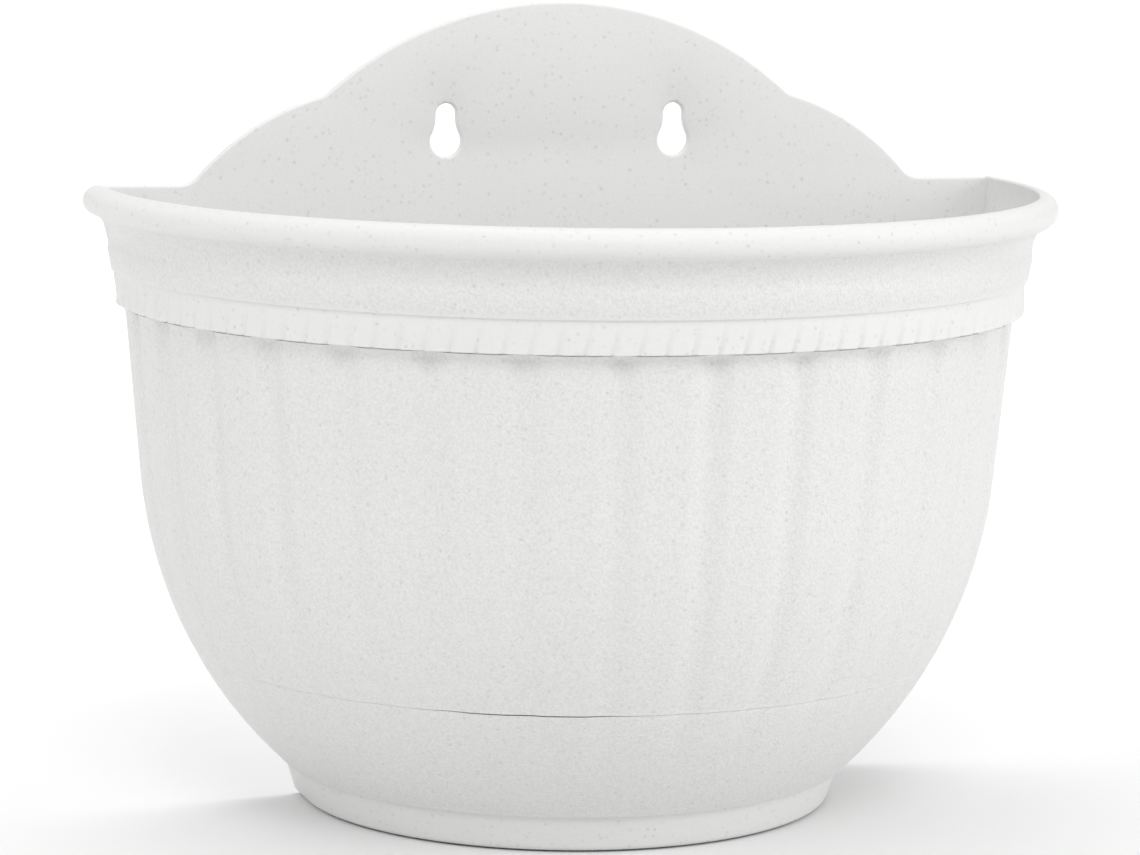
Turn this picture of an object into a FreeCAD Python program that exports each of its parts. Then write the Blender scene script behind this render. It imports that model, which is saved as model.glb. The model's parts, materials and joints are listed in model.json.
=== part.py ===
import FreeCAD, Part
import math
import os
import Sketcher

# Half-round wall planter: a moulded pot with its back plate in one piece, and a
# clip-on water tray that carries the foot. +Z is up, the wall is the plane y = 0
# with the planter in front of it at -Y, and the foot stands on z = 0.

driving = {
    # plan: a half circle with short straight returns to the wall
    "axisSetback": 14.5,
    # heights above the foot, and the stations between which the bowl runs in straight drafts
    "footHeight": 11.0,
    "potFloorHeight": 22.0,
    "trayStation": 34.5,
    "seamHeight": 47.5,
    "lowStation": 66.0,
    "highStation": 84.6,
    "bowlStartHeight": 103.2,
    "bodyTopHeight": 151.8,
    "bandBaseHeight": 155.0,
    "bandTopHeight": 165.0,
    "rimHeight": 191.0,
    "plateHeight": 246.5,
    # outside of the shell
    "footBottomRadius": 83.0,
    "footTopRadius": 86.5,
    "bowlArcRadius": 145.3,
    "bodyDraft": 5.2,
    "bodyTopRadius": 136.9,
    "bandRadius": 140.4,
    "coveFootRadius": 141.3,
    "coveStartRadius": 142.5,
    "coveStartHeight": 171.7,
    "coveLowRadius": 143.3,
    "coveLowHeight": 175.5,
    "coveHighRadius": 144.9,
    "coveHighHeight": 179.1,
    "rimRadius": 150.0,
    "rimInnerRadius": 144.0,
    "beadRadius": 4.6,
    "beadJointAngle": 65.0,
    # flutes down the body, fading out on the tray
    "fluteCount": 16,
    "fluteWidth": 12.0,
    "fluteDepth": 1.3,
    "fluteFade": 8.0,
    "fluteOverrun": 12.0,
    # walls and clearances
    "potWall": 2.4,
    "potFloor": 2.6,
    "plateThickness": 2.4,
    "trayWall": 2.2,
    "trayFloor": 2.4,
    "footWall": 2.4,
    "seamGap": 0.4,
    "trayClearance": 0.4,
    # back plate: a centre arch between two side arches
    "centreArchRadius": 113.0,
    "centreArchHalfWidth": 75.3,
    "sideArchRadius": 81.0,
    "sideArchHalfWidth": 117.1,
    "notchBlend": 8.0,
    "plateEdgeBevel": 1.0,
    # keyholes in the back plate
    "keyholeSpacing": 74.0,
    "keyholeNeckHeight": 212.0,
    "keyholeDrop": 8.7,
    "keyholeNeckWidth": 6.5,
    "keyholeHeadWidth": 10.0,
    "keyholeBlend": 2.5,
    # drain holes through the pot's floor
    "drainDiameter": 7.0,
    "drainCount": 6,
    "drainRingRadius": 26.0,
    "drainForward": 40.0,
    # rounding of the foot's lower edge
    "footBlend": 2.0,
}

# worked out from the values above
derived = {
    "seamTop": "=seamHeight + seamGap",
    "ledgeTop": "=seamHeight + seamGap + potWall",
    "potFloorTop": "=potFloorHeight + potFloor",
    "bowlStartRadius": "=bodyTopRadius - (bodyTopHeight - bowlStartHeight) * tan(bodyDraft)",
    "bowlCentreRadius": "=bowlStartRadius - bowlArcRadius * cos(bodyDraft)",
    "bowlCentreHeight": "=bowlStartHeight + bowlArcRadius * sin(bodyDraft)",
    "beadCentreRadius": "=rimRadius - beadRadius",
    "beadCentreHeight": "=rimHeight - beadRadius",
    "rimFlatHeight": "=beadCentreHeight + sqrt(beadRadius^2 - (beadCentreRadius - rimInnerRadius)^2)",
    "beadJointRadius": "=beadCentreRadius + beadRadius * cos(beadJointAngle)",
    "beadJointHeight": "=beadCentreHeight - beadRadius * sin(beadJointAngle)",
    "fluteCutRadius": "=(fluteWidth^2 / 4 + fluteDepth^2) / (2 * fluteDepth)",
    "fluteReach": "=fluteCutRadius - fluteDepth",
    "cavityInset": "=fluteDepth + potWall",
    "neckInset": "=trayWall + trayClearance",
    "neckCavityInset": "=trayWall + trayClearance + potWall",
    "notchHeight": "=plateHeight - centreArchRadius + sqrt(centreArchRadius^2 - centreArchHalfWidth^2)",
    "neckRadius": "=keyholeNeckWidth / 2",
    "headRadius": "=keyholeHeadWidth / 2",
    "headHeight": "=keyholeNeckHeight - keyholeDrop",
    "keyholeJoin": "=headHeight + sqrt(headRadius^2 - neckRadius^2)",
    "footFlare": "=footTopRadius - footBottomRadius",
    "footSide": "=sqrt(footFlare^2 + footHeight^2)",
    "footBlendReach": "=footBlend * (footSide - footFlare) / footHeight",
}

# The axis of a flute's cutter at each station. The fade moves it off the bowl on the way down.
for station in ("potFloorHeight", "trayStation", "seamHeight", "lowStation", "highStation"):
    slope = station + "Slope"
    fade = station + "Fade"
    swing = f"(bowlArcRadius + fluteReach + {fade})"
    derived[slope] = f"=(bowlCentreHeight - {station}) / bowlArcRadius"
    derived[fade] = f"=fluteFade * (1 - sqrt(1 - {slope}^2) * cos(bodyDraft) - {slope} * sin(bodyDraft))"
    derived[station + "CutAcross"] = f"=bowlCentreRadius + {swing} * sqrt(1 - {slope}^2)"
    derived[station + "CutUp"] = f"=bowlCentreHeight - {swing} * {slope}"

doc = FreeCAD.newDocument("wall_planter")
sheet = doc.addObject("Spreadsheet::Sheet", "dim")
for row, (alias, value) in enumerate({**driving, **derived}.items(), 1):
    sheet.set(f"A{row}", alias)
    sheet.set(f"B{row}", str(value))
    sheet.setAlias(f"B{row}", alias)
doc.recompute()


def amount(expression):
    return float(sheet.evalExpression(expression))


def originPlane(body, role):
    return next(plane for plane in body.Origin.OriginFeatures if plane.Role == role)


# Points on the shell's outer line, or a stated inset inside it, as expressions.


def onBowl(inset, height):
    return (
        f"dim.bowlCentreRadius + sqrt((dim.bowlArcRadius - ({inset}))^2"
        f" - (dim.bowlCentreHeight - ({height}))^2)"
    )


def bowlStart(inset):
    across = f"dim.bowlCentreRadius + (dim.bowlArcRadius - ({inset})) * cos(dim.bodyDraft)"
    up = f"dim.bowlCentreHeight - (dim.bowlArcRadius - ({inset})) * sin(dim.bodyDraft)"
    return across, up


def onDraft(inset, height):
    across, up = bowlStart(inset)
    return f"{across} + (({height}) - ({up})) * tan(dim.bodyDraft)"


def onBead(angle):
    # a corner of the rolled rim, in degrees above its level
    across = f"dim.beadCentreRadius + dim.beadRadius * cos({angle})"
    return across, f"dim.beadCentreHeight + dim.beadRadius * sin({angle})"


# Sketches are closed outlines through corners given as pairs of expressions.


def newSketch(body, name, plane="XZ_Plane", along="0", outward="0"):
    sketch = body.newObject("Sketcher::SketchObject", name)
    sketch.AttachmentSupport = (originPlane(body, plane), "")
    sketch.MapMode = "FlatFace"
    sketch.setExpression("AttachmentOffset.Base.y", along)
    sketch.setExpression("AttachmentOffset.Base.z", outward)
    return sketch


def arcMiddle(start, end, radius, bulge):
    chord = end - start
    half = chord.Length / 2
    rise = radius - math.sqrt(radius**2 - half**2)
    across = FreeCAD.Vector(chord.y, -chord.x, 0).normalize()
    return (start + end) / 2 + across * (rise * bulge)


def fixPoint(sketch, side, end, corner):
    # a corner on an axis is held to it, and any other by its two distances
    for kind, axis, expression in (("DistanceX", -2, corner[0]), ("DistanceY", -1, corner[1])):
        if expression == "0":
            sketch.addConstraint(Sketcher.Constraint("PointOnObject", side, end, axis))
            continue
        size = amount(expression)
        held = sketch.addConstraint(Sketcher.Constraint(kind, -1, 1, side, end, size))
        sketch.setExpression(f"Constraints[{held}]", expression)


def drawOutline(sketch, corners, arcs=None, closed=True):
    # arcs maps the number of a side to its radius and the side that it bulges to
    arcs = arcs or {}
    points = [FreeCAD.Vector(amount(across), amount(up), 0) for across, up in corners]
    sides = len(points) if closed else len(points) - 1
    ends = []
    for side in range(sides):
        start = points[side]
        end = points[(side + 1) % len(points)]
        if side in arcs:
            radius, bulge = arcs[side]
            middle = arcMiddle(start, end, amount(radius), bulge)
            sketch.addGeometry(Part.Arc(start, middle, end), False)
        else:
            sketch.addGeometry(Part.LineSegment(start, end), False)
        forward = sketch.getPoint(side, 1).distanceToPoint(start) < 1e-6
        ends.append((1, 2) if forward else (2, 1))
    for side in range(sides):
        if side + 1 < sides or closed:
            following = (side + 1) % sides
            joint = Sketcher.Constraint("Coincident", side, ends[side][1], following, ends[following][0])
            sketch.addConstraint(joint)
    for side in range(sides):
        fixPoint(sketch, side, ends[side][0], corners[side])
    if not closed:
        fixPoint(sketch, sides - 1, ends[-1][1], corners[-1])
    for side, (radius, bulge) in arcs.items():
        held = sketch.addConstraint(Sketcher.Constraint("Radius", side, amount(radius)))
        sketch.setExpression(f"Constraints[{held}]", radius)
    return sketch


def profile(body, name, corners, arcs=None, closed=True):
    # radial sketch on the plane through the half circle's axis, parallel to the wall
    sketch = newSketch(body, name, outward="dim.axisSetback")
    return drawOutline(sketch, corners, arcs, closed)


def halfRound(body, sketch, returns, cut=False):
    # the profile turned through half a circle, with a straight return to the wall at both ends
    turn = body.newObject("PartDesign::Groove" if cut else "PartDesign::Revolution", sketch.Name + "_turn")
    turn.Profile = sketch
    turn.ReferenceAxis = (sketch, ["V_Axis"])
    turn.Angle = 180
    turn.Reversed = True
    doc.recompute()
    straight = body.newObject("PartDesign::Pocket" if cut else "PartDesign::Pad", sketch.Name + "_return")
    straight.Profile = sketch
    straight.setExpression("Length", returns)
    straight.Reversed = not cut
    mirrored(body, straight)


def mirrored(body, feature):
    mirror = body.newObject("PartDesign::Mirrored", feature.Name + "_mirrored")
    mirror.Originals = [feature]
    mirror.MirrorPlane = (originPlane(body, "YZ_Plane"), [""])
    body.Tip = mirror
    doc.recompute()


def cutterAt(station):
    return f"dim.{station}CutAcross", f"dim.{station}CutUp"


def cutFlutes(body, shell, stops):
    # a round cutter runs straight from stop to stop beside the wall, a little past each of
    # them so that the runs meet, and its channel is repeated round the half circle
    runs = []
    for number, (low, high) in enumerate(zip(stops, stops[1:]), 1):
        section = newSketch(body, f"{body.Name}_flute_section_{number}", "XY_Plane", "-dim.axisSetback")
        section.setExpression("AttachmentOffset.Base.x", f"(({low[0]}) + ({high[0]})) / 2")
        section.setExpression("AttachmentOffset.Base.z", f"(({low[1]}) + ({high[1]})) / 2")
        across = f"({high[0]}) - ({low[0]})"
        up = f"({high[1]}) - ({low[1]})"
        section.AttachmentOffset.Rotation = FreeCAD.Rotation(FreeCAD.Vector(0, 1, 0), 1)
        section.setExpression("AttachmentOffset.Rotation.Angle", f"atan(({across}) / ({up}))")
        radius = amount("dim.fluteCutRadius")
        section.addGeometry(Part.Circle(FreeCAD.Vector(), FreeCAD.Vector(0, 0, 1), radius), False)
        section.addConstraint(Sketcher.Constraint("Coincident", 0, 3, -1, 1))
        held = section.addConstraint(Sketcher.Constraint("Radius", 0, radius))
        section.setExpression(f"Constraints[{held}]", "dim.fluteCutRadius")
        doc.recompute()
        run = body.newObject("PartDesign::Pocket", f"{body.Name}_flute_{number}")
        run.Profile = section
        run.Midplane = True
        run.setExpression("Length", f"sqrt(({across})^2 + ({up})^2) + dim.fluteOverrun")
        doc.recompute()
        runs.append(run)
    ring = body.newObject("PartDesign::PolarPattern", body.Name + "_flutes")
    ring.Originals = runs
    ring.Axis = (shell, ["V_Axis"])
    ring.Angle = 180
    ring.setExpression("Occurrences", "dim.fluteCount + 1")
    ring.Reversed = True
    body.Tip = ring
    doc.recompute()


def dressEdges(body, kind, name, size, wanted):
    base = body.Tip
    edges = [f"Edge{number}" for number, edge in enumerate(base.Shape.Edges, 1) if wanted(edge)]
    dressed = body.newObject(f"PartDesign::{kind}", name)
    dressed.Base = (base, edges)
    dressed.setExpression("Radius" if kind == "Fillet" else "Size", size)
    doc.recompute()


def runsThrough(edge, thickness):
    # a straight edge square to the wall, as long as the plate is thick
    box = edge.BoundBox
    return abs(box.YLength - thickness) < 0.01 and box.XLength < 0.01 and box.ZLength < 0.01


def backPlate(pot):
    plate = newSketch(pot, "plate_outline")
    drawOutline(
        plate,
        [
            ("0", "dim.bandTopHeight"),
            ("dim.sideArchHalfWidth", "dim.bandTopHeight"),
            ("dim.sideArchHalfWidth", "dim.rimFlatHeight"),
            ("dim.centreArchHalfWidth", "dim.notchHeight"),
            ("0", "dim.plateHeight"),
        ],
        {2: ("dim.sideArchRadius", 1), 3: ("dim.centreArchRadius", 1)},
    )
    pad = pot.newObject("PartDesign::Pad", "plate")
    pad.Profile = plate
    pad.setExpression("Length", "dim.plateThickness")
    mirrored(pot, pad)
    thickness = amount("dim.plateThickness")
    lowest = amount("dim.rimFlatHeight") - 0.01
    widest = amount("dim.sideArchHalfWidth") + 0.01

    def atNotch(edge):
        box = edge.BoundBox
        return runsThrough(edge, thickness) and box.ZMin > lowest and 1 < abs(box.XMin) < widest

    dressEdges(pot, "Fillet", "notch_blend", "dim.notchBlend", atNotch)

    def onFrontOutline(edge):
        box = edge.BoundBox
        flat = box.YLength < 0.01 and abs(box.YMin + thickness) < 0.01
        return flat and box.ZMax > lowest + 1

    dressEdges(pot, "Chamfer", "plate_edge_bevel", "dim.plateEdgeBevel", onFrontOutline)


def keyholes(pot):
    # one keyhole beside the centre line, cut through the plate and mirrored
    outline = newSketch(pot, "keyhole_outline")
    middle = "dim.keyholeSpacing / 2"
    drawOutline(
        outline,
        [
            (f"{middle} + dim.neckRadius", "dim.keyholeJoin"),
            (f"{middle} + dim.neckRadius", "dim.keyholeNeckHeight"),
            (middle, "dim.keyholeNeckHeight + dim.neckRadius"),
            (f"{middle} - dim.neckRadius", "dim.keyholeNeckHeight"),
            (f"{middle} - dim.neckRadius", "dim.keyholeJoin"),
            (middle, "dim.headHeight - dim.headRadius"),
        ],
        {
            1: ("dim.neckRadius", 1),
            2: ("dim.neckRadius", 1),
            4: ("dim.headRadius", 1),
            5: ("dim.headRadius", 1),
        },
    )
    cut = pot.newObject("PartDesign::Pocket", "keyhole")
    cut.Profile = outline
    cut.setExpression("Length", "dim.plateThickness")
    cut.Reversed = True
    mirrored(pot, cut)
    thickness = amount("dim.plateThickness")
    join = amount("dim.keyholeJoin")

    def atJoin(edge):
        return runsThrough(edge, thickness) and abs(edge.BoundBox.ZMin - join) < 0.01

    dressEdges(pot, "Fillet", "keyhole_blend", "dim.keyholeBlend", atJoin)


def drainHoles(pot):
    spot = newSketch(pot, "drain_outline", "XY_Plane", "-dim.drainForward", "dim.potFloorHeight")
    middle = FreeCAD.Vector(amount("dim.drainRingRadius"), 0, 0)
    radius = amount("dim.drainDiameter") / 2
    spot.addGeometry(Part.Circle(middle, FreeCAD.Vector(0, 0, 1), radius), False)
    fixPoint(spot, 0, 3, ("dim.drainRingRadius", "0"))
    held = spot.addConstraint(Sketcher.Constraint("Diameter", 0, 2 * radius))
    spot.setExpression(f"Constraints[{held}]", "dim.drainDiameter")
    hole = pot.newObject("PartDesign::Pocket", "drain_hole")
    hole.Profile = spot
    hole.setExpression("Length", "dim.potFloor")
    hole.Reversed = True
    doc.recompute()
    ring = pot.newObject("PartDesign::PolarPattern", "drain_holes")
    ring.Originals = [hole]
    ring.Axis = (spot, ["N_Axis"])
    ring.Angle = 360
    ring.setExpression("Occurrences", "dim.drainCount")
    pot.Tip = ring
    doc.recompute()


def bowlCorners(inset, *heights):
    return [(onBowl(inset, f"dim.{height}"), f"dim.{height}") for height in heights]


def innerSlice(body, name, inset, heights, returns, cut=False):
    # a slice of the bowl between two heights, a set distance inside its outer line
    side = bowlCorners(inset, *heights)
    corners = [("0", side[0][1]), *side, ("0", side[-1][1])]
    halfRound(body, profile(body, name, corners), returns, cut)


def makePot():
    pot = doc.addObject("PartDesign::Body", "pot")
    shell = profile(
        pot,
        "body_profile",
        [
            ("0", "dim.seamTop"),
            *bowlCorners("0", "seamTop", "lowStation", "highStation"),
            bowlStart("0"),
            (onDraft("0", "dim.bandTopHeight"), "dim.bandTopHeight"),
            ("0", "dim.bandTopHeight"),
        ],
    )
    halfRound(pot, shell, "dim.axisSetback")
    top = (onDraft("-dim.fluteReach", "dim.bandTopHeight"), "dim.bandTopHeight")
    stops = [cutterAt(station) for station in ("seamHeight", "lowStation", "highStation")]
    cutFlutes(pot, shell, [*stops, bowlStart("-dim.fluteReach"), top])
    moulding = profile(
        pot,
        "rim_profile",
        [
            ("0", "dim.bodyTopHeight"),
            ("dim.bodyTopRadius", "dim.bodyTopHeight"),
            ("dim.bandRadius", "dim.bandBaseHeight"),
            ("dim.bandRadius", "dim.bandTopHeight"),
            ("dim.coveFootRadius", "dim.bandTopHeight"),
            ("dim.coveStartRadius", "dim.coveStartHeight"),
            ("dim.coveLowRadius", "dim.coveLowHeight"),
            ("dim.coveHighRadius", "dim.coveHighHeight"),
            ("dim.beadJointRadius", "dim.beadJointHeight"),
            *[onBead(angle) for angle in (-32, 0, 30, 60, 90)],
            ("dim.rimInnerRadius", "dim.rimFlatHeight"),
            ("0", "dim.rimFlatHeight"),
        ],
    )
    halfRound(pot, moulding, "dim.axisSetback")
    neckReturn = "dim.axisSetback - dim.neckInset"
    neckHeights = ("potFloorHeight", "trayStation", "ledgeTop")
    innerSlice(pot, "neck_profile", "dim.neckInset", neckHeights, neckReturn)
    hollow = profile(
        pot,
        "soil_profile",
        [
            ("0", "dim.ledgeTop"),
            *bowlCorners("dim.cavityInset", "ledgeTop", "lowStation", "highStation"),
            bowlStart("dim.cavityInset"),
            (onDraft("dim.cavityInset", "dim.bodyTopHeight"), "dim.bodyTopHeight"),
            ("dim.coveStartRadius - dim.potWall", "dim.coveStartHeight"),
            ("dim.rimInnerRadius", "dim.beadJointHeight"),
            ("dim.rimInnerRadius", "dim.rimFlatHeight"),
            ("0", "dim.rimFlatHeight"),
        ],
    )
    halfRound(pot, hollow, "dim.axisSetback - dim.plateThickness", cut=True)
    wellReturn = "dim.axisSetback - dim.neckCavityInset"
    wellHeights = ("potFloorTop", "trayStation", "ledgeTop")
    innerSlice(pot, "well_profile", "dim.neckCavityInset", wellHeights, wellReturn, cut=True)
    backPlate(pot)
    keyholes(pot)
    drainHoles(pot)
    return pot


def makeTray():
    tray = doc.addObject("PartDesign::Body", "water_tray")
    trayHeights = ("footHeight", "potFloorHeight", "trayStation", "seamHeight")
    shell = profile(
        tray,
        "tray_profile",
        [
            ("0", "0"),
            ("dim.footBottomRadius - dim.footBlendReach", "0"),
            (
                "dim.footBottomRadius + dim.footBlendReach * dim.footFlare / dim.footSide",
                "dim.footBlendReach * dim.footHeight / dim.footSide",
            ),
            ("dim.footTopRadius", "dim.footHeight"),
            *bowlCorners("0", *trayHeights),
            ("0", "dim.seamHeight"),
        ],
    )
    halfRound(tray, shell, "dim.axisSetback")
    cutFlutes(tray, shell, [cutterAt(station) for station in trayHeights[1:]])
    trayReturn = "dim.axisSetback - dim.trayWall"
    innerSlice(tray, "tray_hollow", "dim.trayWall", trayHeights, trayReturn, cut=True)
    under = profile(
        tray,
        "foot_hollow",
        [
            ("0", "0"),
            ("dim.footBottomRadius - dim.footWall", "0"),
            ("dim.footTopRadius - dim.footWall", "dim.footHeight - dim.trayFloor"),
            ("0", "dim.footHeight - dim.trayFloor"),
        ],
    )
    halfRound(tray, under, "dim.axisSetback - dim.footWall", cut=True)
    return tray


bodies = [makePot(), makeTray()]
doc.recompute()

os.makedirs("parts", exist_ok=True)
for item in doc.Objects:
    for state in ("Invalid", "Error"):
        if state in item.State:
            raise RuntimeError(f"{item.Label} is {item.State}")
for body in bodies:
    body.Label = body.Name
    if body.Shape.isNull() or not body.Shape.isValid() or len(body.Shape.Solids) != 1:
        raise RuntimeError(f"{body.Label} is not one valid solid")
    body.Shape.exportStep(f"parts/{body.Label}.step")
    print(body.Label, body.Shape.BoundBox, round(body.Shape.Volume))
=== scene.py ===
import json
import math

import bmesh
import bpy
from mathutils import Matrix, Vector

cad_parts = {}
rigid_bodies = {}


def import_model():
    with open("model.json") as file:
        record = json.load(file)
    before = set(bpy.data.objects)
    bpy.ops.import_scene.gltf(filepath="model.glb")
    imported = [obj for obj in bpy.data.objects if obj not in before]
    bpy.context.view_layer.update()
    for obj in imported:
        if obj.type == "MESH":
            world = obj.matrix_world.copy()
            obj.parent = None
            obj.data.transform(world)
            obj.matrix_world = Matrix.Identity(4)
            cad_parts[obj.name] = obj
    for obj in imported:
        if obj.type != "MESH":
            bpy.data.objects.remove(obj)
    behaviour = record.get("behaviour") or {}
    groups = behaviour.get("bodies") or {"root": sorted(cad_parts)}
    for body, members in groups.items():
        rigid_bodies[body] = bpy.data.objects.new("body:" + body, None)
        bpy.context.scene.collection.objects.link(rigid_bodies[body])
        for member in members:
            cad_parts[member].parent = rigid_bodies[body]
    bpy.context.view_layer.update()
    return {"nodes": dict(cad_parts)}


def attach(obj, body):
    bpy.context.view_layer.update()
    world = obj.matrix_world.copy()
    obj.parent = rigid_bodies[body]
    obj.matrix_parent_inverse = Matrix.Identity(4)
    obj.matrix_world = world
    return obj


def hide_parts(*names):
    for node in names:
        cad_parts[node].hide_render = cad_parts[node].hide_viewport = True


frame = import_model()

# Lengths in the dictionaries are millimetres. The wall is the plane y = 0, the planter is in
# front of it at -Y, and the foot stands on z = 0.
mm = 0.001
weldDistance = 0.004 * mm


def onArc(centre, radius, fromAngle, toAngle, count):
    # points round a centre, with the angles in degrees from level
    turns = [math.radians(fromAngle + (toAngle - fromAngle) * i / count) for i in range(count + 1)]
    return [
        (centre[0] + radius * math.cos(turn), centre[1] + radius * math.sin(turn))
        for turn in turns
    ]


def angleOf(centre, point):
    return math.degrees(math.atan2(point[1] - centre[1], point[0] - centre[0]))


def bulgeCentre(start, end, radius, side):
    # centre of the short arc between two corners that bulges to the right (1) or left (-1)
    chord = Vector(end) - Vector(start)
    right = Vector((chord.y, -chord.x)).normalized()
    middle = (Vector(start) + Vector(end)) / 2
    return tuple(middle - right * side * math.sqrt(radius**2 - (chord.length / 2) ** 2))


def arcBetween(start, end, radius, side, count):
    centre = bulgeCentre(start, end, radius, side)
    first = angleOf(centre, start)
    swing = (angleOf(centre, end) - first + 180) % 360 - 180
    return onArc(centre, radius, first, first + swing, count)


shell = {
    "axisSetback": 14.5,  # the half circle's axis in front of the wall
    "steps": 406,  # facets round each quarter, 14 to a reed
    "wall": 2.4,
    "draftTop": (136.9, 151.8),  # radius and height where the body meets the band
    "draft": 5.2,  # degrees
    "bowlStart": 103.2,  # the draft ends here and the bowl's arc begins
    "bowlArc": 145.3,
    "seam": 47.5,
    "seamGap": 0.4,
    "seamEdge": 0.18,  # rounding of both edges at the seam
    "seamRound": 1.1,  # its radius, in seamEdge
    "backInset": 0.8,  # the back wall's edge inside the shell's wall
    "returnColumns": (0.5, 0.6, 0.7, 0.8, 0.9, 1.0),  # of the setback, mesh columns on the sides
}


def bowlRadius(z, inset=0.0):
    # the shell's outer line, or a line that far inside it
    top, height = shell["draftTop"]
    lean = math.radians(shell["draft"])
    start = top - (height - shell["bowlStart"]) * math.tan(lean)
    across = start - shell["bowlArc"] * math.cos(lean)
    up = shell["bowlStart"] + shell["bowlArc"] * math.sin(lean)
    arc = shell["bowlArc"] - inset
    low = up - arc * math.sin(lean)
    if z >= low:
        return across + arc * math.cos(lean) + (z - low) * math.tan(lean)
    return across + math.sqrt(arc**2 - (up - z) ** 2)


def bowlLine(low, high, step, inset=0.0):
    # points up or down that line, with mesh rows about one step apart
    count = max(1, round(abs(high - low) / step))
    heights = [low + (high - low) * i / count for i in range(count + 1)]
    return [(bowlRadius(z, inset), z) for z in heights]


def newPiece(name, bm, body, sharp=32.0):
    # smooth faces with crisp edges where the surface turns by more than the angle
    bmesh.ops.remove_doubles(bm, verts=bm.verts, dist=weldDistance)
    bmesh.ops.recalc_face_normals(bm, faces=bm.faces)
    for face in bm.faces:
        face.smooth = True
    for edge in bm.edges:
        edge.smooth = edge.calc_face_angle(0.0) < math.radians(sharp)
    mesh = bpy.data.meshes.new(name)
    bm.to_mesh(mesh)
    bm.free()
    piece = bpy.data.objects.new(name, mesh)
    bpy.context.collection.objects.link(piece)
    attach(piece, body)


def onlyVerts(items):
    return [item for item in items if isinstance(item, bmesh.types.BMVert)]


def onlyEdges(items):
    return [item for item in items if isinstance(item, bmesh.types.BMEdge)]


def onlyFaces(items):
    return [item for item in items if isinstance(item, bmesh.types.BMFace)]


def drawOut(bm, edges, verts, stops):
    # the profile's edges drawn straight from one distance off the wall to the next
    for near, far in zip(stops, stops[1:]):
        moved = bmesh.ops.extrude_edge_only(bm, edges=edges)["geom"]
        verts = onlyVerts(moved)
        fresh = set(verts)
        edges = [edge for edge in onlyEdges(moved) if set(edge.verts) <= fresh]
        bmesh.ops.translate(bm, verts=verts, vec=(0, (near - far) * mm, 0))
    return edges, verts


def halfRound(bm, profile, back, closed):
    # the profile stands at the wall, is drawn out to the half circle's axis, spun round it to
    # the front and mirrored
    verts = [bm.verts.new((x * mm, -back * mm, z * mm)) for x, z in profile]
    edges = [bm.edges.new(pair) for pair in zip(verts, verts[1:])]
    if closed:
        edges.append(bm.edges.new((verts[-1], verts[0])))
    bm.faces.new(verts)
    setback = shell["axisSetback"]
    stops = [back] + [setback * part for part in shell["returnColumns"]]
    edges, verts = drawOut(bm, edges, verts, stops)
    bmesh.ops.spin(
        bm,
        geom=verts + edges,
        cent=(0, -setback * mm, 0),
        axis=(0, 0, 1),
        angle=-math.pi / 2,
        steps=shell["steps"],
        use_merge=False,
    )
    everything = bm.verts[:] + bm.edges[:] + bm.faces[:]
    bmesh.ops.mirror(
        bm, geom=everything, matrix=Matrix.Identity(4), merge_dist=weldDistance, axis="X"
    )


flutes = {
    "count": 16,
    "width": 13.5,
    "depth": 1.3,
    "fade": 8.0,  # how far the lower bend runs out of the bowl
    "openEnd": 154.7,  # the channels stay full up to here, in the band's underside
    "deepen": 1.6,  # more depth and width at the top, from deepenStart up
    "widen": 3.0,
    "deepenStart": 150.0,
    "skin": 1.2,  # how deep under the outer line still counts as the outer face
}


def towardBand(z):
    # 0 to 1 up the top of the flutes
    start = flutes["deepenStart"]
    return min(1.0, max(0.0, (z - start) / (rim["bandBase"] - start)))


def fluteDepth(z):
    # open under the band, full down the body, and run out on the tray
    if z > shell["bowlStart"]:
        return flutes["depth"] + flutes["deepen"] * towardBand(z)
    lean = math.radians(shell["draft"])
    up = shell["bowlStart"] + shell["bowlArc"] * math.sin(lean)
    turn = math.asin((up - z) / shell["bowlArc"]) - lean
    return max(0.0, flutes["depth"] - flutes["fade"] * (1 - math.cos(turn)))


def fluteShape(offset, z):
    # across one flute, 1 in its middle and 0 from its edge
    part = abs(offset) / ((flutes["width"] + flutes["widen"] * towardBand(z)) / 2)
    return 0.5 + 0.5 * math.cos(math.pi * part) if part < 1 else 0.0


reeds = {
    "count": 58,  # round the half circle
    "depth": 0.9,
    "groove": 0.34,  # of the spacing
    "slant": -0.28,  # of the spacing, from the band's lower edge to its upper one
    "reach": 0.85,  # of the band's height
    "skin": 0.5,  # how deep under the band's face still counts as that face
    "rows": (155.5, 156.3, 157.6, 159.0, 160.4, 161.8, 163.2, 164.3),  # mesh rows up the band
}


def reedShape(place, z):
    # narrow slanting grooves between flat reeds, deepest at the band's lower edge
    height = (z - rim["bandBase"]) / (rim["bandTop"] - rim["bandBase"])
    fall = max(0.0, 1 - height / reeds["reach"])
    off = place + reeds["slant"] * height
    part = abs(off - round(off)) / (reeds["groove"] / 2)
    across = 0.5 + 0.5 * math.cos(math.pi * part) if part < 1 else 0.0
    return reeds["depth"] * fall**0.8 * across


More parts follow.
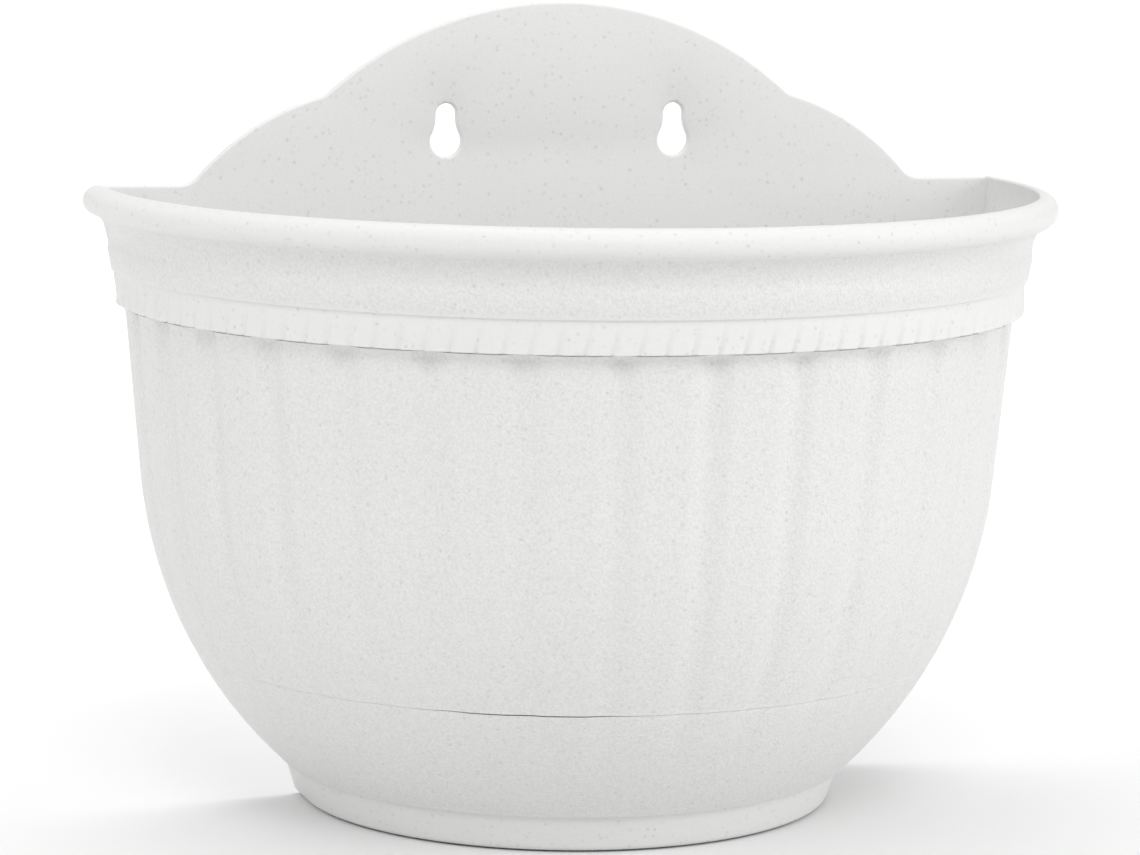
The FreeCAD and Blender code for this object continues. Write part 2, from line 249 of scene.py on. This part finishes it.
def dressShell(bm):
    # flutes and reeds pressed into the outer face
    pitch = math.pi / flutes["count"]
    for vert in bm.verts:
        x = vert.co.x / mm
        y = vert.co.y / mm + shell["axisSetback"]
        z = vert.co.z / mm
        ahead = min(y, 0.0)
        radius = math.hypot(x, ahead)
        if radius < 1:
            continue  # on the axis there is no outer face
        turn = math.atan2(x, -ahead)
        inward = Vector((-x, -ahead, 0)).normalized()
        body = bowlRadius(min(z, shell["draftTop"][1])) - flutes["skin"]
        onBand = rim["bandBase"] <= z < rim["bandTop"]
        if z < flutes["openEnd"] and radius > body:
            nearest = round(turn / pitch) * pitch
            offset = (turn - nearest) * radius if y < 0 else y
            vert.co += inward * fluteDepth(z) * fluteShape(offset, z) * mm
        elif onBand and radius > rim["band"] - reeds["skin"]:
            past = 0.0 if y < 0 else math.copysign(y / radius, x)
            place = (turn + past) * reeds["count"] / math.pi
            vert.co += inward * reedShape(place, z) * mm


# a quarter round in three steps: how far in and how far up each goes, in radii
edgeRounding = ((0.134, 0.5), (0.366, 0.366), (0.5, 0.134))


def slab(bm, outline, holes, back, front, edge=0.0, level=False):
    # a flat piece parallel to the wall, or level, filled inside its outline and round its holes
    loops = []
    for points in (outline, *holes):
        verts = [bm.verts.new((x * mm, -back * mm, z * mm)) for x, z in points]
        loops += [bm.edges.new(pair) for pair in zip(verts, verts[1:] + verts[:1])]
    filled = bmesh.ops.triangle_fill(bm, use_beauty=True, edges=loops)["geom"]
    faces = onlyFaces(filled)
    bmesh.ops.recalc_face_normals(bm, faces=faces)
    if faces[0].normal.y > 0:
        bmesh.ops.reverse_faces(bm, faces=faces)
    moved = bmesh.ops.extrude_face_region(bm, geom=faces)["geom"]
    bmesh.ops.translate(bm, verts=onlyVerts(moved), vec=(0, (back - front + edge) * mm, 0))
    faces = onlyFaces(moved)
    if edge:
        for inset, rise in edgeRounding:
            bmesh.ops.inset_region(
                bm,
                faces=faces,
                thickness=inset * edge * mm,
                depth=rise * edge * mm,
                use_boundary=True,
                use_even_offset=True,
            )
    if level:
        turn = Matrix.Rotation(-math.pi / 2, 3, "X")
        bmesh.ops.rotate(bm, verts=bm.verts, cent=(0, 0, 0), matrix=turn)


def mirroredOutline(right):
    # the right half from the bottom to the top, closed by its mirror image
    return right + [(-x, z) for x, z in reversed(right) if x > 0.001]


rim = {
    "band": 140.4,
    "bandBase": 155.0,
    "bandTop": 165.0,
    "slot": 0.38,  # height of the shadow groove right under the band
    "slotDepth": 1.3,
    "underStart": 3.2,  # the hollow underside begins this far below the band
    "underLip": 0.8,  # and ends this far inside its face
    "underArc": 2.9,
    "coveFoot": 141.3,
    "coveStart": (142.5, 171.7),
    "coveArc": 13.0,
    "bead": 4.6,
    "outer": 150.0,
    "inner": 144.0,
    "crest": 191.0,
    "jointAngle": 92.0,  # degrees below level, where the bead meets the cove
}


def potProfile():
    # up the outside from the seam to the rolled rim, and down the inside to the neck
    seamTop = shell["seam"] + shell["seamGap"]
    inner = shell["wall"] + flutes["depth"]
    ledge = seamTop + shell["wall"]
    neckInner = neck["inset"] + shell["wall"]
    joint = beadJoint()
    flat = (rim["inner"] + 0.3, rimFlat() + 0.06)
    beadCentre = (rim["outer"] - rim["bead"], rim["crest"] - rim["bead"])
    edge = shell["seamEdge"]
    outer = [(bowlRadius(seamTop, neckInner), seamTop)]
    outer += arcBetween(
        (bowlRadius(seamTop) - edge, seamTop),
        (bowlRadius(seamTop + edge), seamTop + edge),
        edge * shell["seamRound"],
        1,
        3,
    )
    outer += bowlLine(seamTop + 1.5, shell["bowlStart"], 4.0)
    outer += bowlLine(shell["bowlStart"] + 6, shell["draftTop"][1], 6.0)
    band = rim["band"]
    under = rim["bandBase"]
    top = rim["bandTop"]
    lip = under - rim["slot"]
    outer += arcBetween(
        (shell["draftTop"][0], under - rim["underStart"]),
        (band - rim["underLip"], lip),
        rim["underArc"],
        -1,
        7,
    )[1:]
    outer += [(band - rim["slotDepth"], lip + 0.05), (band - rim["slotDepth"], under - 0.02)]
    outer += [(band - 0.15, under), (band, under + 0.15)]
    outer += [(band, z) for z in reeds["rows"]]
    outer += [(band + 0.1, top - 0.25), (rim["coveFoot"] - 0.15, top)]
    outer += [(rim["coveFoot"], top + 0.3), rim["coveStart"]]
    outer += arcBetween(rim["coveStart"], joint, rim["coveArc"], -1, 10)[1:]
    beadEnd = angleOf(beadCentre, flat)
    outer += onArc(beadCentre, rim["bead"], -rim["jointAngle"], beadEnd, 18)[1:]
    inside = [(rim["inner"], rimFlat() - 0.35), (rim["inner"], joint[1])]
    inside += [(rim["coveStart"][0] - shell["wall"], rim["coveStart"][1])]
    inside += [(band - shell["wall"], under + shell["wall"])]
    inside += bowlLine(shell["draftTop"][1], ledge + 2, 6.0, inner)
    inside += [(bowlRadius(ledge + 0.6, inner) - 0.2, ledge + 0.6)]
    inside += [(bowlRadius(ledge, inner) - 0.8, ledge), (bowlRadius(ledge, neckInner), ledge)]
    return outer + inside


def beadJoint():
    angle = math.radians(rim["jointAngle"])
    across = rim["outer"] - rim["bead"] + rim["bead"] * math.cos(angle)
    return across, rim["crest"] - rim["bead"] - rim["bead"] * math.sin(angle)


def rimFlat():
    across = rim["outer"] - rim["bead"] - rim["inner"]
    return rim["crest"] - rim["bead"] + math.sqrt(rim["bead"] ** 2 - across**2)


def meeting(first, firstRadius, second, secondRadius):
    # the upper of the two points at those distances from two centres
    apart = Vector(second) - Vector(first)
    along = (apart.length**2 + firstRadius**2 - secondRadius**2) / (2 * apart.length)
    off = math.sqrt(firstRadius**2 - along**2)
    way = apart.normalized()
    foot = Vector(first) + way * along
    points = [foot + Vector((-way.y, way.x)) * off * side for side in (1, -1)]
    return tuple(max(points, key=lambda point: point.y))


plate = {
    "thickness": 2.4,
    "top": 246.5,
    "centreArch": 113.0,
    "centreHalfWidth": 75.3,
    "sideArch": 81.0,
    "sideHalfWidth": 117.1,
    "notchBlend": 8.0,
    "edge": 0.9,  # rounding of the front edge
    "rimCorner": ((143.9, 180.0), (145.5, 183.5)),  # its edge inside the rolled rim
}


def plateOutline():
    # up inside the shell's wall, along the rim, and over the side arch and the centre arch
    blend = plate["notchBlend"]
    low = shell["seam"] + shell["seamGap"] + 0.05
    flat = rimFlat()
    edge = shell["backInset"]
    centre = (0.0, plate["top"] - plate["centreArch"])
    notchUp = centre[1] + math.sqrt(plate["centreArch"] ** 2 - plate["centreHalfWidth"] ** 2)
    notch = (plate["centreHalfWidth"], notchUp)
    side = bulgeCentre((plate["sideHalfWidth"], flat), notch, plate["sideArch"], 1)
    reach = plate["sideArch"] + blend
    lowAcross = side[0] + math.sqrt(reach**2 - (flat + blend - side[1]) ** 2)
    lowBlend = (lowAcross, flat + blend)
    topBlend = meeting(side, reach, centre, plate["centreArch"] + blend)
    right = [(0.0, low)] + bowlLine(low, shell["draftTop"][1], 6.0, edge)
    right += [(rim["band"] - edge, rim["bandBase"] + 1.5)]
    right += [(rim["coveStart"][0] - edge, rim["coveStart"][1])]
    right += [*plate["rimCorner"], (plate["rimCorner"][-1][0], flat)]
    right += onArc(lowBlend, blend, -90, angleOf(lowBlend, side), 8)
    ends = (angleOf(side, lowBlend), angleOf(side, topBlend))
    right += onArc(side, plate["sideArch"], *ends, 24)[1:]
    right += onArc(topBlend, blend, angleOf(topBlend, side), angleOf(topBlend, centre), 6)[1:]
    right += onArc(centre, plate["centreArch"], angleOf(centre, topBlend), 90, 40)[1:]
    return mirroredOutline(right)


keyhole = {
    "spacing": 74.0,
    "neck": 3.25,
    "neckHeight": 212.0,
    "head": 5.0,
    "headHeight": 203.6,
    "blend": 10.5,
}


def keyholeOutline(middle):
    blend = keyhole["blend"]
    head = (0.0, keyhole["headHeight"])
    reach = keyhole["neck"] + blend
    turn = (reach, head[1] + math.sqrt((keyhole["head"] + blend) ** 2 - reach**2))
    right = onArc(head, keyhole["head"], -90, angleOf(head, turn), 14)
    right += onArc(turn, blend, angleOf(turn, head), -180, 5)[1:]
    right += onArc((0.0, keyhole["neckHeight"]), keyhole["neck"], 0, 90, 8)
    return [(middle + x, z) for x, z in mirroredOutline(right)]


def dOutline(radius, back):
    # plan of a half round with its straight returns, from the wall side
    setback = shell["axisSetback"]
    right = [(0.0, -setback - radius)] + onArc((0.0, -setback), radius, -87, 0, 29)
    right += [(radius, -back), (0.0, -back)]
    return mirroredOutline(right)


def makePot():
    bm = bmesh.new()
    halfRound(bm, potProfile(), 0.0, closed=True)
    dressShell(bm)
    newPiece("potShell", bm, "pot")
    bm = bmesh.new()
    middles = (-keyhole["spacing"] / 2, keyhole["spacing"] / 2)
    holes = [keyholeOutline(x) for x in middles]
    slab(bm, plateOutline(), holes, 0.02, plate["thickness"], plate["edge"])
    newPiece("backPlate", bm, "pot")


neck = {
    "inset": 2.6,  # from the shell's outer line, so that it clears the tray's wall
    "floor": 22.0,
    "floorThickness": 2.6,
    "drainRadius": 3.5,
    "drainCount": 6,
    "drainRing": 26.0,
    "drainForward": 40.0,
    "corner": 1.6,  # rounding of its lower edge, and how far that reaches in and up
    "cornerIn": 1.4,
    "cornerUp": 1.5,
}


def makeNeck():
    # the pot's lower end, which stands inside the tray
    floor = neck["floor"]
    top = shell["seam"] + shell["seamGap"] + 2.0
    inner = neck["inset"] + shell["wall"]
    cornerTop = floor + neck["cornerUp"]
    profile = arcBetween(
        (bowlRadius(floor, neck["inset"]) - neck["cornerIn"], floor),
        (bowlRadius(cornerTop, neck["inset"]), cornerTop),
        neck["corner"],
        1,
        5,
    )
    profile += bowlLine(floor + 3, top, 3.5, neck["inset"])
    profile += bowlLine(top, floor + 0.3, 3.5, inner)
    bm = bmesh.new()
    halfRound(bm, profile, neck["inset"], closed=True)
    newPiece("potNeck", bm, "pot")
    bm = bmesh.new()
    edge = neck["inset"] + shell["backInset"]
    right = [(0.0, floor + 0.05)] + bowlLine(floor + 0.05, top, 3.5, edge) + [(0.0, top)]
    slab(bm, mirroredOutline(right), [], neck["inset"] + 0.02, neck["inset"] + shell["wall"])
    newPiece("neckBack", bm, "pot")
    bm = bmesh.new()
    drains = []
    for i in range(neck["drainCount"]):
        turn = 2 * math.pi * i / neck["drainCount"]
        across = neck["drainRing"] * math.cos(turn)
        spot = (across, neck["drainRing"] * math.sin(turn) - neck["drainForward"])
        drains.append(onArc(spot, neck["drainRadius"], 0, 345, 23))
    outline = dOutline(bowlRadius(floor, neck["inset"]) - 1.2, neck["inset"] + 0.6)
    slab(bm, outline, drains, floor + 0.02, floor + neck["floorThickness"], 0.4, level=True)
    newPiece("potFloor", bm, "pot")


tray = {
    "lift": 0.34,  # of its upper edge, from the open part of the seam to its closed ends
    "openMiddle": -22.0,  # degrees round from the front
    "openHalf": 5.0,
    "liftFade": 14,  # degrees over which the seam closes
    "liftStart": 3.0,  # mm below the seam, where the lift begins
    "liftRise": 2.5,  # and over how many mm it grows
    "wall": 2.2,
    "floor": 2.4,
    "foot": 11.0,
    "footTop": 86.5,
    "footBottom": 83.0,
    "footWall": 2.4,
    "footEdge": 2.2,
}


def trayProfile():
    # from the middle of the underside round the foot, up the bowl and back over the floor
    foot = tray["foot"]
    footTop = tray["footTop"]
    footBottom = tray["footBottom"]
    wall = tray["wall"]
    seam = shell["seam"]
    under = foot - tray["floor"]
    lean = (footTop - footBottom) / foot
    edge = tray["footEdge"] * 0.7
    profile = [(0.0, under), (footTop - tray["footWall"] - 1.0, under)]
    profile += [(footTop - tray["footWall"] - 0.6, under - 1.0)]
    profile += [(footBottom - tray["footWall"], 0.4), (footBottom - tray["footWall"] + 0.4, 0.0)]
    profile += arcBetween(
        (footBottom - edge, 0.0), (footBottom + edge * lean, edge), tray["footEdge"] * 1.05, 1, 6
    )
    profile += [(footBottom + z * lean, z) for z in (4.5, 6.5, 8.5)]
    bowlFoot = (bowlRadius(foot + 0.5), foot + 0.5)
    profile += arcBetween((footTop - 0.2, foot - 0.6), bowlFoot, 1.2, -1, 4)
    profile += bowlLine(foot + 2.5, seam - 1.5, 3.0)
    edge = shell["seamEdge"]
    profile += arcBetween(
        (bowlRadius(seam - edge), seam - edge),
        (bowlRadius(seam) - edge, seam),
        edge * shell["seamRound"],
        1,
        3,
    )
    profile += [(bowlRadius(seam, wall) + 0.4, seam), (bowlRadius(seam - 0.4, wall), seam - 0.4)]
    profile += bowlLine(seam - 3, foot + 3, 3.5, wall)
    profile += [(bowlRadius(foot + 1, wall) - 0.4, foot + 1)]
    profile += [(bowlRadius(foot, wall) - 1.6, foot), (0.0, foot)]
    return profile


def liftSeam(bm):
    # the tray sits up against the pot at both ends and gapes a little near the middle
    for vert in bm.verts:
        z = vert.co.z / mm
        if z < shell["seam"] - tray["liftStart"]:
            continue
        turn = math.atan2(vert.co.x / mm, -min(vert.co.y / mm + shell["axisSetback"], 0.0))
        away = abs(math.degrees(turn) - tray["openMiddle"]) - tray["openHalf"]
        away = min(1.0, max(0.0, away / tray["liftFade"]))
        share = min(1.0, (z - shell["seam"] + tray["liftStart"]) / tray["liftRise"])
        vert.co.z += tray["lift"] * away * away * (3 - 2 * away) * share * mm


def makeTray():
    bm = bmesh.new()
    halfRound(bm, trayProfile(), 0.0, closed=False)
    dressShell(bm)
    liftSeam(bm)
    newPiece("trayShell", bm, "tray")
    bm = bmesh.new()
    edge = shell["backInset"]
    seam = shell["seam"]
    right = [(0.0, 0.02), (tray["footBottom"] - edge - 0.8, 0.02)]
    right += [(tray["footTop"] - edge - 0.6, tray["foot"])]
    right += bowlLine(tray["foot"] + 2, seam - 0.02, 3.5, edge) + [(0.0, seam - 0.02)]
    slab(bm, mirroredOutline(right), [], 0.02, tray["wall"])
    newPiece("trayBack", bm, "tray")


def linear(hexColour):
    # sRGB hex to the linear colour that a shader takes
    parts = [int(hexColour[i : i + 2], 16) / 255 for i in (0, 2, 4)]
    shades = [
        part / 12.92 if part <= 0.04045 else ((part + 0.055) / 1.055) ** 2.4 for part in parts
    ]
    return (*shades, 1.0)


def addNode(tree, kind, settings, links):
    # settings go to the node's own properties or its sockets, and links come from other sockets
    node = tree.nodes.new(kind)
    for name, value in settings.items():
        if isinstance(name, str) and hasattr(node, name):
            setattr(node, name, value)
        else:
            node.inputs[name].default_value = value
    for name, source in links.items():
        tree.links.new(source, node.inputs[name])
    return node


plastic = {
    "base": "e6e6e5",
    "paintedPitShade": "dddddc",  # painted shade: the colour that the hollows of the grain are darkened towards
    "fleck": "d2d1cf",
    "fleckCell": 2.3,  # mm between flecks
    "fleckSize": 0.25,  # of a cell
    "fleckShare": 0.8,  # of the cells hold one
    "fleckSoft": (0.2, 1.3),  # of its size: solid inside the first, gone at the second
    "fleckWarp": 0.9,  # mm, waves that make its outline ragged
    "fleckRagged": 0.4,  # of a cell, how far the waves push the outline to and fro
    "grain": 0.8,  # mm, spark-eroded orange-peel texture of the mould
    "grainDepth": 0.26,  # mm
    "hollow": (0.35, 0.62),  # grain heights that get full painted shade and none
    # how much of the grain shows up the outside: smooth foot, grained bowl and body, smooth
    # band, grained cove and smooth rolled rim, as heights in mm and shares
    "zones": (
        (0, 0.25),
        (10.5, 0.25),
        (12.5, 1.0),
        (154.6, 1.0),
        (155.0, 0.2),
        (165.2, 0.2),
        (166.5, 1.0),
        (180.5, 0.9),
        (183.0, 0.25),
    ),
    "zoneTop": 200.0,  # mm, the height that the ramp of the zones ends at
    "smooth": ((0, 0.3),),  # the same for the other pieces, which have little grain
    "roughness": 0.5,
    "ior": 1.49,  # polypropylene
}


def plasticMaterial(name, zones):
    # polypropylene, injection moulded in a spark-eroded mould: matt with a soft sheen, finely
    # pebbled with painted shade in its hollows, and sprinkled with small grey flecks
    material = bpy.data.materials.new(name)
    material.use_nodes = True
    tree = material.node_tree
    shader = tree.nodes["Principled BSDF"]
    place = addNode(tree, "ShaderNodeTexCoord", {}, {}).outputs["Object"]
    cells = addNode(
        tree,
        "ShaderNodeTexVoronoi",
        {"Scale": 1 / (plastic["fleckCell"] * mm), "Randomness": 1.0},
        {"Vector": place},
    )
    warp = addNode(
        tree,
        "ShaderNodeTexNoise",
        {"Scale": 1 / (plastic["fleckWarp"] * mm), "Detail": 2.0},
        {"Vector": place},
    )
    ragged = plastic["fleckRagged"]
    reach = addNode(
        tree,
        "ShaderNodeMath",
        {"operation": "MULTIPLY_ADD", 1: ragged, 2: -ragged / 2},
        {0: warp.outputs["Fac"]},
    )
    nearness = addNode(
        tree,
        "ShaderNodeMath",
        {"operation": "ADD"},
        {0: cells.outputs["Distance"], 1: reach.outputs[0]},
    )
    solid, gone = (plastic["fleckSize"] * part for part in plastic["fleckSoft"])
    spot = addNode(
        tree,
        "ShaderNodeMapRange",
        {"From Min": solid, "From Max": gone, "To Min": 1.0, "To Max": 0.0},
        {"Value": nearness.outputs[0]},
    )
    parts = addNode(tree, "ShaderNodeSeparateColor", {}, {"Color": cells.outputs["Color"]})
    chosen = addNode(
        tree,
        "ShaderNodeMapRange",
        {"From Min": 1 - plastic["fleckShare"], "From Max": 1.0, "To Min": 0.0, "To Max": 1.0},
        {"Value": parts.outputs["Red"]},
    )
    fleck = addNode(
        tree,
        "ShaderNodeMath",
        {"operation": "MULTIPLY"},
        {0: spot.outputs[0], 1: chosen.outputs[0]},
    )
    grain = addNode(
        tree,
        "ShaderNodeTexNoise",
        {"Scale": 1 / (plastic["grain"] * mm), "Detail": 2.0, "Roughness": 0.5},
        {"Vector": place},
    )
    height = addNode(tree, "ShaderNodeSeparateXYZ", {}, {"Vector": place})
    reached = addNode(
        tree,
        "ShaderNodeMath",
        {"operation": "MULTIPLY", 1: 1 / (plastic["zoneTop"] * mm)},
        {0: height.outputs["Z"]},
    )
    share = addNode(tree, "ShaderNodeValToRGB", {}, {"Fac": reached.outputs[0]})
    stops = share.color_ramp.elements
    while len(stops) < len(zones):
        stops.new(1.0)
    while len(stops) > len(zones):
        stops.remove(stops[-1])
    # stops sort themselves by place, so all are placed before any gets its share
    for stop, zone in zip(stops, zones):
        stop.position = zone[0] / plastic["zoneTop"]
    for stop, zone in zip(stops, zones):
        stop.color = (zone[1], zone[1], zone[1], 1)
    # painted shade: where the grain is low the colour is darkened, standing in for the shade that
    # falls in its hollows
    shaded, unshaded = plastic["hollow"]
    dip = addNode(
        tree,
        "ShaderNodeMapRange",
        {"From Min": shaded, "From Max": unshaded, "To Min": 1.0, "To Max": 0.0},
        {"Value": grain.outputs["Fac"]},
    )
    hollow = addNode(
        tree,
        "ShaderNodeMath",
        {"operation": "MULTIPLY"},
        {0: dip.outputs[0], 1: share.outputs["Color"]},
    )
    ground = addNode(
        tree,
        "ShaderNodeMix",
        {"data_type": "RGBA", 6: linear(plastic["base"]), 7: linear(plastic["paintedPitShade"])},
        {0: hollow.outputs[0]},
    )
    colour = addNode(
        tree,
        "ShaderNodeMix",
        {"data_type": "RGBA", 7: linear(plastic["fleck"])},
        {0: fleck.outputs[0], 6: ground.outputs[2]},
    )
    bump = addNode(
        tree,
        "ShaderNodeBump",
        {"Distance": plastic["grainDepth"] * mm},
        {"Height": grain.outputs["Fac"], "Strength": share.outputs["Color"]},
    )
    tree.links.new(colour.outputs[2], shader.inputs["Base Color"])
    tree.links.new(bump.outputs["Normal"], shader.inputs["Normal"])
    shader.inputs["Roughness"].default_value = plastic["roughness"]
    shader.inputs["IOR"].default_value = plastic["ior"]
    return material


camera = {
    "place": (-373.9, -1214.5, 295.2),
    "yaw": 17.64,  # degrees from straight at the wall, to the right
    "pitch": -8.181,
    "roll": 0.8876,
    "lens": 128.48,
    "sensor": 36,  # mm wide
    "shift": (-0.01895, 0.0012),  # of the sensor
}


def makeCamera():
    yaw = math.radians(camera["yaw"])
    pitch = math.radians(camera["pitch"])
    roll = math.radians(camera["roll"])
    flat = math.cos(pitch)
    ahead = Vector((math.sin(yaw) * flat, math.cos(yaw) * flat, math.sin(pitch)))
    level = Vector((math.cos(yaw), -math.sin(yaw), 0))
    upright = level.cross(ahead)
    right = level * math.cos(roll) + upright * math.sin(roll)
    up = upright * math.cos(roll) - level * math.sin(roll)
    data = bpy.data.cameras.new("camera")
    data.lens = camera["lens"]
    data.sensor_width = camera["sensor"]
    data.shift_x, data.shift_y = camera["shift"]
    view = bpy.data.objects.new("camera", data)
    axes = Matrix((right, up, -ahead)).transposed()
    view.matrix_world = Matrix.Translation(Vector(camera["place"]) * mm) @ axes.to_4x4()
    bpy.context.collection.objects.link(view)
    bpy.context.scene.camera = view


# Power is in watts, spread in degrees, and places and sizes in metres. The last lamp lights
# the floor behind the planter from straight above.
lights = {
    "keyRight": {"place": (2.0, -1.1, 0.9), "size": (1.5, 1.5), "power": 17.0, "spread": 180},
    "fillLeft": {"place": (-1.9, -0.7, 1.4), "size": (1.5, 1.5), "power": 10.0, "spread": 180},
    "front": {"place": (-0.2, -1.7, 1.7), "size": (1.0, 1.0), "power": 13.5, "spread": 180},
    "floorBehind": {"place": (0.0, 4.15, 2.0), "size": (9.0, 8.0), "power": 180.0, "spread": 65},
}
lightAim = (0, -0.07, 0.12)

backdrop = {
    "surround": 0.59,  # strength of the white light from all sides
    "reach": 30.0,  # m, half the floor's width
    "drop": 0.0005,  # m under the foot
    "colour": "eeeeee",
    "roughness": 0.9,
}


def makeStudio():
    target = Vector(lightAim)
    for name, settings in lights.items():
        data = bpy.data.lights.new(name, "AREA")
        data.energy = settings["power"]
        data.shape = "RECTANGLE"
        data.size, data.size_y = settings["size"]
        data.spread = math.radians(settings["spread"])
        lamp = bpy.data.objects.new(name, data)
        lamp.location = settings["place"]
        if name != "floorBehind":
            lamp.rotation_euler = (target - lamp.location).to_track_quat("-Z", "Y").to_euler()
        bpy.context.collection.objects.link(lamp)
    world = bpy.data.worlds.new("studio")
    bpy.context.scene.world = world
    world.use_nodes = True
    back = world.node_tree.nodes["Background"]
    back.inputs["Color"].default_value = (1, 1, 1, 1)
    back.inputs["Strength"].default_value = backdrop["surround"]
    bpy.context.scene.view_settings.view_transform = "Standard"
    bm = bmesh.new()
    bmesh.ops.create_grid(bm, x_segments=1, y_segments=1, size=backdrop["reach"])
    mesh = bpy.data.meshes.new("floor")
    bm.to_mesh(mesh)
    bm.free()
    floor = bpy.data.objects.new("floor", mesh)
    floor.location.z = -backdrop["drop"]
    bpy.context.collection.objects.link(floor)
    paper = bpy.data.materials.new("floorPaper")
    paper.use_nodes = True
    shader = paper.node_tree.nodes["Principled BSDF"]
    shader.inputs["Base Color"].default_value = linear(backdrop["colour"])
    shader.inputs["Roughness"].default_value = backdrop["roughness"]
    mesh.materials.append(paper)


makePot()
makeNeck()
print("pot made")
makeTray()
print("water tray made")
grained = plasticMaterial("grainedPolypropylene", plastic["zones"])
smooth = plasticMaterial("smoothPolypropylene", plastic["smooth"])
for piece in bpy.data.objects:
    if piece.type == "MESH" and piece.name not in frame["nodes"]:
        outside = piece.name in ("potShell", "trayShell")
        piece.data.materials.append(grained if outside else smooth)
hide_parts("pot")
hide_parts("water_tray")
makeCamera()
makeStudio()
print("camera and studio made")
